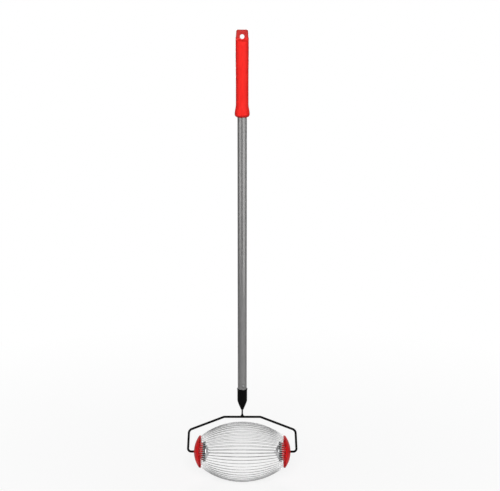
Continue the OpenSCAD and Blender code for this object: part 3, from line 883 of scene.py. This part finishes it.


# Wire plates
# Red moulded discs with a slot in the rim for every wire and a groove for its foot on the outer face.
# A boss on the inner face carries the hub, and the cap snaps down over the wire feet.
# The CAD solids are their true shape, so they stay and take a moulded finish, with painted shade darkening
# their rim.
plate_red = grained_material(
    "moulded_red_plate", light_tone=(0.82, 0.03, 0.033), dark_tone=(0.76, 0.026, 0.029),
    worn_tone=(0.45, 0.05, 0.05), worn=0.35, rough=(0.34, 0.48),
    size=900, stretch=(1, 1, 1), depth=0.05 * mm, Specular_IOR_Level=0.05)
# Painted shade: each plate is painted darker from just past its inner face outwards, so its rim reads dark.
rim_painted_shade = (0.4, 0.011, 0.013)
rim_shade_start = end_reach + 0.4 * mm
rim_shade_fade = 1 * mm
tone_along(plate_red, rim_painted_shade, "X", rim_shade_start, rim_shade_start + rim_shade_fade, mirrored=True)
for side in ("left", "right"):
    keep_node(f"{side}_wire_plate", plate_red)


# Caps
# Thin domed shells in red plastic, snapped over the wire plates, with a hole for the axle in the crown
# and a fine groove round it. Inside, a socket takes the hub's spigot.
cap_sides = 128
cap_wall = 2.5 * mm
dome_rise = 15.2 * mm
dome_sphere = (cap_radius ** 2 + dome_rise ** 2) / (2 * dome_rise)
axle_hole = 3.675 * mm
socket_bore = 8.05 * mm
socket_radius = 11.05 * mm
socket_end = 16.25 * mm
rim_inner = 40.6 * mm


def end_place(side):
    """Turns a piece that is built along +Z from the plate's inner face on to the left or right end."""
    sign = 1 if side == "right" else -1
    return (Matrix.Translation((sign * end_reach, 0, axle_height))
            @ Matrix.Rotation(sign * math.pi / 2, 4, "Y"))


def dome_height(r, sphere):
    """Height of a dome above the plate's inner face, at a distance from the axle."""
    return plate_thick + dome_rise - dome_sphere + math.sqrt(max(0, sphere ** 2 - r * r))


red_cap = grained_material(
    "moulded_red_cap", light_tone=(0.84, 0.008, 0.011), dark_tone=(0.78, 0.007, 0.009),
    worn_tone=(0.78, 0.06, 0.055), worn=0.35, rough=(0.3, 0.44),
    size=900, stretch=(1, 1, 1), depth=0.05 * mm, Specular_IOR_Level=0.03)
rim_edge = [(0.9, 0), (0.25, 0.15), (0.05, 0.6)]
dome_radii = [44.4, 43, 41, 38, 35, 32, 28, 24, 20, 16, 13, 11, 9.6]
crown_groove = [(9.2, 0.25), (8.8, 0.25), (8.4, 0)]
crown_points = [(7, 0), (5.5, 0), (4.6, 0), (4.1, 0.1), (axle_hole / mm, 0.5)]
cap_outline = [(cap_radius - inward * mm, plate_thick + rise * mm) for inward, rise in rim_edge]
for r, sunk in [(r, 0) for r in dome_radii] + crown_groove + crown_points:
    cap_outline.append((r * mm, dome_height(r * mm, dome_sphere) - sunk * mm))
inner_sphere = dome_sphere - cap_wall
cap_outline += [(axle_hole, socket_end), (socket_bore, socket_end), (socket_bore, plate_thick),
                (socket_radius, plate_thick), (socket_radius, dome_height(socket_radius, inner_sphere))]
cap_outline += [(r * mm, dome_height(r * mm, inner_sphere)) for r in (16, 22, 28, 33, 37, 39.5)]
cap_outline += [(rim_inner - 0.2 * mm, plate_thick + 0.6 * mm), (rim_inner, plate_thick)]
for side in ("left", "right"):
    cap_mesh = skin([level_ring(r, z, cap_sides) for r, z in cap_outline], ring_loop=True)
    bmesh.ops.transform(cap_mesh, matrix=end_place(side), verts=cap_mesh.verts)
    add_piece(f"{side}_domed_cap", cap_mesh, red_cap, "cage", [f"{side}_cap"])


# Hubs
# Black moulded bearings: a broad flange inside the cage and a spigot through the plate into the cap.
# They turn on the axle stubs, and shallow rings on the flange show how they were moulded.
hub_sides = 96
hub_bore = 3.235 * mm
hub_radius = 28.5 * mm
hub_inner_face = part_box("right_hub")[0].x - end_reach
hub_spigot_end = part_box("right_hub")[1].x - end_reach
hub_spigot_radius = 8 * mm
hub_spigot_chamfer = 0.6 * mm
bore_edge = 0.3 * mm
boss_face = -5.3 * mm
boss_edge = 0.5 * mm
ring_profile = [(-0.6, 0), (-0.3, 0.4), (0.3, 0.4), (0.6, 0)]
flange_round = [(1.2, 0), (0.35, 0.85), (0.05, 1.5), (0, 2)]
hub_outline = [(hub_bore, hub_inner_face + bore_edge), (hub_bore + bore_edge, hub_inner_face)]
for ring_radius in (10, 15.5, 21):
    for across, deep in ring_profile:
        hub_outline.append(((ring_radius + across) * mm, hub_inner_face + deep * mm))
hub_outline += [(hub_radius - inward * mm, hub_inner_face + up * mm) for inward, up in flange_round]
hub_outline += [(hub_radius, boss_face - boss_edge), (hub_radius - boss_edge, boss_face),
                (hub_spigot_radius, boss_face), (hub_spigot_radius, hub_spigot_end - hub_spigot_chamfer),
                (hub_spigot_radius - hub_spigot_chamfer, hub_spigot_end), (hub_bore, hub_spigot_end)]
hub_plastic = grained_material(
    "moulded_hub_plastic", light_tone=(0.06, 0.058, 0.059), dark_tone=(0.046, 0.045, 0.046),
    worn_tone=(0.08, 0.08, 0.08), worn=0.4, rough=(0.38, 0.5),
    size=1400, stretch=(1, 1, 1), depth=0.04 * mm, Specular_IOR_Level=0.2)
for side in ("left", "right"):
    hub_mesh = skin([level_ring(r, z, hub_sides) for r, z in hub_outline], ring_loop=True)
    bmesh.ops.transform(hub_mesh, matrix=end_place(side), verts=hub_mesh.verts)
    add_piece(f"{side}_bearing_hub", hub_mesh, hub_plastic, "cage", [f"{side}_hub"])


# Axle washers
# Dished washers pressed from zinc-plated sheet, one on each axle stub, that keep the hub in its place.
# They are fixed to the yoke and don't turn with the cage.
washer_sides = 96
washer_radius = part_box("axle_washers")[1].y
washer_hole = 3.225 * mm
washer_flat = 8.6 * mm
washer_thick = 1.5 * mm
washer_depth = 8.5 * mm
washer_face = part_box("axle_washers")[1].x - end_reach
washer_floor = washer_face - washer_depth
washer_outline = [
    (washer_hole, washer_floor), (washer_flat, washer_floor),
    (washer_flat + 0.7 * mm, washer_floor + 0.15 * mm), (washer_flat + 1.3 * mm, washer_floor + 0.5 * mm),
    (washer_radius - 0.4 * mm, washer_face - 1.8 * mm), (washer_radius - 0.05 * mm, washer_face - 1.5 * mm),
    (washer_radius, washer_face - 1.1 * mm), (washer_radius, washer_face - 0.1 * mm),
    (washer_radius - 0.2 * mm, washer_face), (washer_radius - 1.3 * mm, washer_face),
    (washer_radius - 1.5 * mm, washer_face - 0.1 * mm), (washer_flat + 0.7 * mm, washer_floor + 1.6 * mm),
    (washer_flat + 0.1 * mm, washer_floor + washer_thick), (washer_hole, washer_floor + washer_thick)]


def end_rings(side, rings):
    """Rings moved to the left or right end."""
    return [[end_place(side) @ p for p in ring] for ring in rings]


washers_mesh = bmesh.new()
for side in ("left", "right"):
    washer_rings = [level_ring(r, z, washer_sides) for r, z in washer_outline]
    skin(end_rings(side, washer_rings), ring_loop=True, bm=washers_mesh)
add_piece("dished_washers", washers_mesh, plated_steel, "handle", ["axle_washers"])


# Push nuts
# Small coned spring-steel fasteners pressed on the ends of the axle stubs.
# Slits part their inner edge into tongues that bite on the rod.
nut_sides = 96
nut_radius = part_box("push_nuts")[1].y
nut_thick = 1 * mm
nut_cone = 1.2 * mm
nut_clearance = 0.02 * mm
tongues = 6
slit_depth = 1.5 * mm
slit_half_share = 0.08
slit_reach = 4 * mm
nut_face = washer_floor - nut_clearance
nut_outline = [
    (nut_radius, nut_face), (nut_radius, washer_floor - nut_thick),
    (nut_radius - 0.3 * mm, washer_floor - nut_thick - 0.15 * mm),
    (washer_hole, washer_floor - nut_thick - nut_cone), (washer_hole, washer_floor - nut_cone),
    (nut_radius - 1.1 * mm, nut_face)]


def tongue_ring(r, z):
    """Ring that steps back at each slit near the rod."""
    ring = []
    for p in level_ring(r, z, nut_sides):
        turn = math.atan2(p.y, p.x) / (2 * math.pi) * tongues % 1
        slit = slit_depth * max(0, 1 - abs(turn - 0.5) / slit_half_share) if r < slit_reach else 0
        ring.append(Vector((p.x * (1 + slit / r), p.y * (1 + slit / r), p.z)))
    return ring


nuts_mesh = bmesh.new()
for side in ("left", "right"):
    nut_rings = [tongue_ring(r, z) for r, z in nut_outline]
    skin(end_rings(side, nut_rings), ring_loop=True, bm=nuts_mesh)
add_piece("coned_push_nuts", nuts_mesh, plated_steel, "handle", ["push_nuts"])
